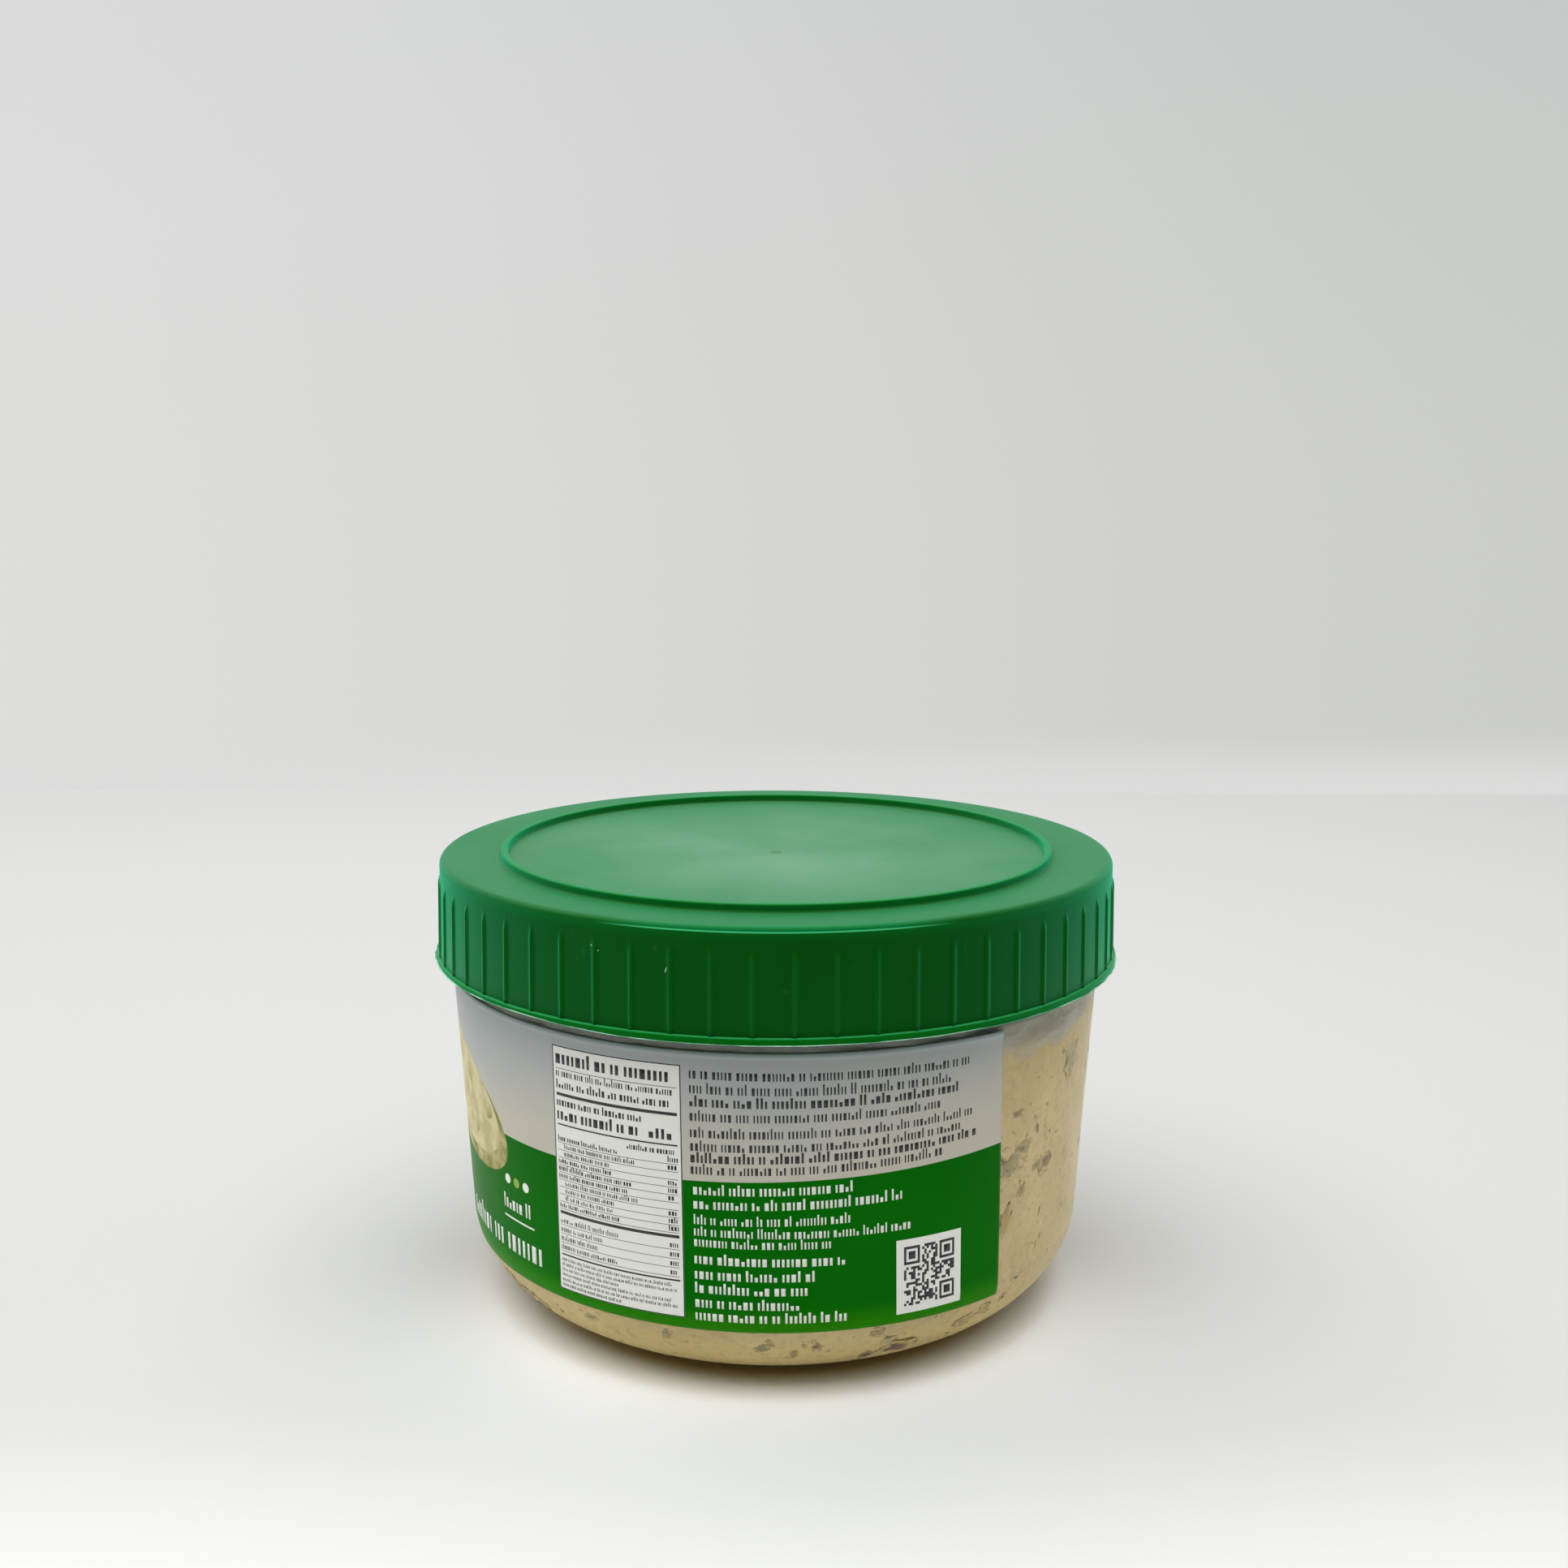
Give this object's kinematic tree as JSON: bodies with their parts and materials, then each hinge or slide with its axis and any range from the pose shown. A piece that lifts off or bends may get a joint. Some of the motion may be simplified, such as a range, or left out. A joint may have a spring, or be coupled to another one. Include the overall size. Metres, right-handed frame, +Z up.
{
  "type": "tub of pistachio halva",
  "caption": "Shut round clear-plastic tub of pistachio halva, with a rounded foot, a wrap-round paper label and a ribbed green cap with a raised stacking ring.",
  "frame": {"origin": "middle of the flat foot, on the surface that the tub stands on", "axes": "+Z up through the cap, -Y towards the front of the label, +X to the right of it"},
  "size_m": [0.1086, 0.1086, 0.0711],
  "materials": {
    "clear_plastic": "clear, slightly milky, glossy",
    "halva": "pale cream paste with small pits and dark pistachio pieces",
    "label_paper": "satin print, grey over green",
    "green_plastic": "satin moulded green"
  },
  "bodies": {
    "root": {"cup": "clear_plastic", "halva": "halva", "label": "label_paper", "cap": "green_plastic"}
  },
  "joints": []
}
